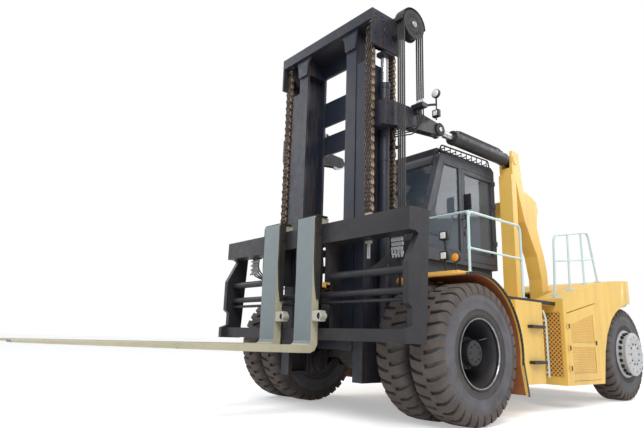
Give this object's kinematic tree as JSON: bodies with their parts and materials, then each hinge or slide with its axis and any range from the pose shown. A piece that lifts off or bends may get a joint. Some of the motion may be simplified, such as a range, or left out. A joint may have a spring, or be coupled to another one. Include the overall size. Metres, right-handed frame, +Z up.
{
  "type": "forklift",
  "caption": "Heavy forklift with a two-stage mast, long forks on a wide carriage, tilt cylinders at roof height, a cab, twin front wheels and a rounded counterweight.",
  "frame": {"origin": "on the ground, at the middle of the machine's length and width", "axes": "+X to the machine's left, +Y to its rear (the forks point along -Y), +Z up"},
  "size_m": [4.4, 12.48, 6.21],
  "materials": {
    "yellow": "satin",
    "black": "satin",
    "mast": "satin",
    "cab_grey": "satin",
    "fork_grey": "worn",
    "cream": "satin",
    "white": "satin",
    "rail": "satin",
    "steel": "polished",
    "chain": "oiled",
    "iron": "matt",
    "rubber": "matt",
    "hose": "matt",
    "glass": "clear",
    "mesh": "matt",
    "seat": "matt",
    "lamp": "gloss",
    "plastic": "matt"
  },
  "bodies": {
    "chassis": {"chassis_frame": "black", "front_axle": "iron", "rear_axle": "iron", "engine": "iron", "tilt_frame": "yellow", "cab_base": "cab_grey", "cab_shell": "cab_grey", "cab_glass": "glass", "roof_guard": "black", "seat": "seat", "steering_console": "plastic", "walkways": "yellow", "fenders": "yellow", "side_tanks": "yellow", "hood": "yellow", "mesh_panels": "mesh", "counterweight": "yellow", "handrails": "rail", "deck_lamps": "lamp"},
    "mast_outer": {"outer_mast": "mast", "lift_cylinders": "mast", "rear_chains": "chain", "rear_hoses": "hose"},
    "mast_inner": {"inner_mast": "mast", "lift_rods": "steel", "chain_sheaves": "chain", "hose_sheaves": "black", "lift_chains": "chain", "front_hoses": "hose"},
    "carriage": {"carriage_frame": "black", "chain_anchors": "cream", "fork_positioner": "black"},
    "fork_left": {"fork_left": "fork_grey", "fork_carrier_left": "cream"},
    "fork_right": {"fork_right": "fork_grey", "fork_carrier_right": "cream"},
    "tilt_cylinder_left": {"tilt_barrel_left": "black"},
    "tilt_cylinder_right": {"tilt_barrel_right": "black"},
    "tilt_rod_left": {"tilt_rod_left": "steel"},
    "tilt_rod_right": {"tilt_rod_right": "steel"},
    "cab_door_left": {"cab_door_left": "cab_grey", "door_glass_left": "glass"},
    "cab_door_right": {"cab_door_right": "cab_grey", "door_glass_right": "glass"},
    "engine_door_left": {"engine_door_left": "yellow"},
    "engine_door_right": {"engine_door_right": "yellow"},
    "front_left_wheels": {"front_tyres_left": "rubber", "front_rims_left": "black"},
    "front_right_wheels": {"front_tyres_right": "rubber", "front_rims_right": "black"},
    "steer_left": {"rear_knuckle_left": "iron"},
    "steer_right": {"rear_knuckle_right": "iron"},
    "rear_left_wheel": {"rear_tyre_left": "rubber", "rear_rim_left": "white"},
    "rear_right_wheel": {"rear_tyre_right": "rubber", "rear_rim_right": "white"},
    "steering_rod": {"steering_rod": "steel"}
  },
  "joints": [
    {"name": "mast_tilt", "type": "hinge", "parent": "chassis", "child": "mast_outer", "pos_m": [0, -1.51, 0.7], "axis": [1, 0, 0], "range_deg": [-3, 5]},
    {"name": "mast_lift", "type": "slide", "parent": "mast_outer", "child": "mast_inner", "axis": [0, 0, 1], "range_m": [-0.385, 2.3], "deforming": ["rear_chains", "rear_hoses"]},
    {"name": "carriage_lift", "type": "slide", "parent": "mast_inner", "child": "carriage", "axis": [0, 0, 1], "range_m": [-0.385, 2.3], "deforming": ["lift_chains", "front_hoses"]},
    {"name": "fork_left_shift", "type": "slide", "parent": "carriage", "child": "fork_left", "axis": [1, 0, 0], "range_m": [-0.1, 1.3]},
    {"name": "fork_right_shift", "type": "slide", "parent": "carriage", "child": "fork_right", "axis": [1, 0, 0], "range_m": [-1.2, 0.1]},
    {"name": "tilt_cylinder_swing_left", "type": "hinge", "parent": "chassis", "child": "tilt_cylinder_left", "pos_m": [1.2, 1.55, 4.45], "axis": [1, 0, 0], "range_deg": [-2, 1.2]},
    {"name": "tilt_rod_slide_left", "type": "slide", "parent": "tilt_cylinder_left", "child": "tilt_rod_left", "axis": [0, -1, 0], "range_m": [-0.21, 0.34]},
    {"name": "cab_door_hinge_left", "type": "hinge", "parent": "chassis", "child": "cab_door_left", "pos_m": [1.016, 1.31, 3.2], "axis": [0, 0, 1], "range_deg": [0, 42]},
    {"name": "engine_door_hinge_left", "type": "hinge", "parent": "chassis", "child": "engine_door_left", "pos_m": [1.914, 1.956, 1], "axis": [0, 0, -1], "range_deg": [0, 100]},
    {"name": "front_wheels_left", "type": "hinge", "parent": "chassis", "child": "front_left_wheels", "pos_m": [1.665, -1.11, 0.93], "axis": [1, 0, 0], "continuous": true},
    {"name": "rear_steer_left", "type": "hinge", "parent": "chassis", "child": "steer_left", "pos_m": [1.08, 4.84, 0.93], "axis": [0, 0, 1], "range_deg": [-50, 50]},
    {"name": "rear_wheel_left", "type": "hinge", "parent": "steer_left", "child": "rear_left_wheel", "pos_m": [1.505, 4.84, 0.93], "axis": [1, 0, 0], "continuous": true},
    {"name": "tilt_cylinder_swing_right", "type": "hinge", "parent": "chassis", "child": "tilt_cylinder_right", "pos_m": [-1.2, 1.55, 4.45], "axis": [1, 0, 0], "range_deg": [-2, 1.2]},
    {"name": "tilt_rod_slide_right", "type": "slide", "parent": "tilt_cylinder_right", "child": "tilt_rod_right", "axis": [0, -1, 0], "range_m": [-0.21, 0.34]},
    {"name": "cab_door_hinge_right", "type": "hinge", "parent": "chassis", "child": "cab_door_right", "pos_m": [-1.016, 1.31, 3.2], "axis": [0, 0, -1], "range_deg": [0, 42]},
    {"name": "engine_door_hinge_right", "type": "hinge", "parent": "chassis", "child": "engine_door_right", "pos_m": [-1.914, 1.956, 1], "axis": [0, 0, 1], "range_deg": [0, 100]},
    {"name": "front_wheels_right", "type": "hinge", "parent": "chassis", "child": "front_right_wheels", "pos_m": [-1.665, -1.11, 0.93], "axis": [1, 0, 0], "continuous": true},
    {"name": "rear_steer_right", "type": "hinge", "parent": "chassis", "child": "steer_right", "pos_m": [-1.08, 4.84, 0.93], "axis": [0, 0, 1], "range_deg": [-50, 50]},
    {"name": "rear_wheel_right", "type": "hinge", "parent": "steer_right", "child": "rear_right_wheel", "pos_m": [-1.505, 4.84, 0.93], "axis": [1, 0, 0], "continuous": true},
    {"name": "steering_rod_slide", "type": "slide", "parent": "chassis", "child": "steering_rod", "axis": [1, 0, 0], "range_m": [-0.22, 0.22]}
  ],
  "couplings": [
    {"joint": "carriage_lift", "follows": "mast_lift", "ratio": 1},
    {"joint": "rear_steer_right", "follows": "rear_steer_left", "ratio": 1},
    {"joint": "steering_rod_slide", "follows": "rear_steer_left", "m_per_rad": 0.24},
    {"joint": "tilt_cylinder_swing_left", "follows": "mast_tilt", "ratio": -0.3286},
    {"joint": "tilt_rod_slide_left", "follows": "mast_tilt", "m_per_rad": 3.77},
    {"joint": "tilt_cylinder_swing_right", "follows": "mast_tilt", "ratio": -0.3286},
    {"joint": "tilt_rod_slide_right", "follows": "mast_tilt", "m_per_rad": 3.77}
  ]
}
